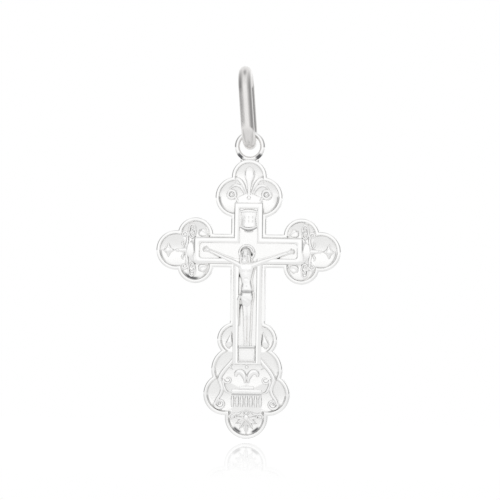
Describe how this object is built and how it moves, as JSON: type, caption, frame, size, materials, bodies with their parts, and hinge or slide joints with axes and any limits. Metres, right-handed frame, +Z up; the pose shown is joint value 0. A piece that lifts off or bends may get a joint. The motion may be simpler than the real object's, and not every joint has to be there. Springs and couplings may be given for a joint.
{
  "type": "crucifix pendant",
  "caption": "Cast silver budded cross pendant with a relief figure and scrollwork, hung by a round eyelet on an oval bail.",
  "frame": {"origin": "the chain's seat, in the middle of the inside top of the bail", "axes": "+Z up the shaft of the hanging cross, +X along its right arm as seen from the front, -Y out of the decorated face"},
  "size_m": [0.02, 0.005, 0.0402],
  "materials": {
    "polished_silver": "bright polished sterling silver",
    "relief_silver": "cast relief in sterling silver, bright on the high points",
    "wire_silver": "drawn round silver wire, polished"
  },
  "bodies": {
    "bail": {"bail": "wire_silver"},
    "eyelet": {"eyelet_ring": "wire_silver"},
    "cross": {"eyelet_seat": "polished_silver", "back_plate": "polished_silver", "border_rim": "polished_silver", "inner_frame": "polished_silver", "title_scroll": "relief_silver", "nimbus": "relief_silver", "corpus": "relief_silver", "nail_heads": "relief_silver", "foot_rest": "relief_silver", "foot_block": "relief_silver", "crown_fleur": "relief_silver", "crown_scrolls": "relief_silver", "left_arm_fleur": "relief_silver", "right_arm_fleur": "relief_silver", "left_arm_scrolls": "relief_silver", "right_arm_scrolls": "relief_silver", "side_leaves": "relief_silver", "foot_lyre": "relief_silver", "foot_fleur": "relief_silver", "foot_scrolls": "relief_silver", "foot_tablet": "relief_silver", "foot_shell": "relief_silver", "beads": "relief_silver"}
  },
  "joints": [
    {"name": "cross_swing", "type": "hinge", "parent": "bail", "child": "eyelet", "pos_m": [0.0004, 0, -0.00513], "axis": [0.9969, 0, 0.0785], "range_deg": [-85, 85]},
    {"name": "cross_rock", "type": "hinge", "parent": "eyelet", "child": "cross", "pos_m": [0.00054, 0, -0.00724], "axis": [0, 1, 0], "range_deg": [-90, 90]}
  ]
}
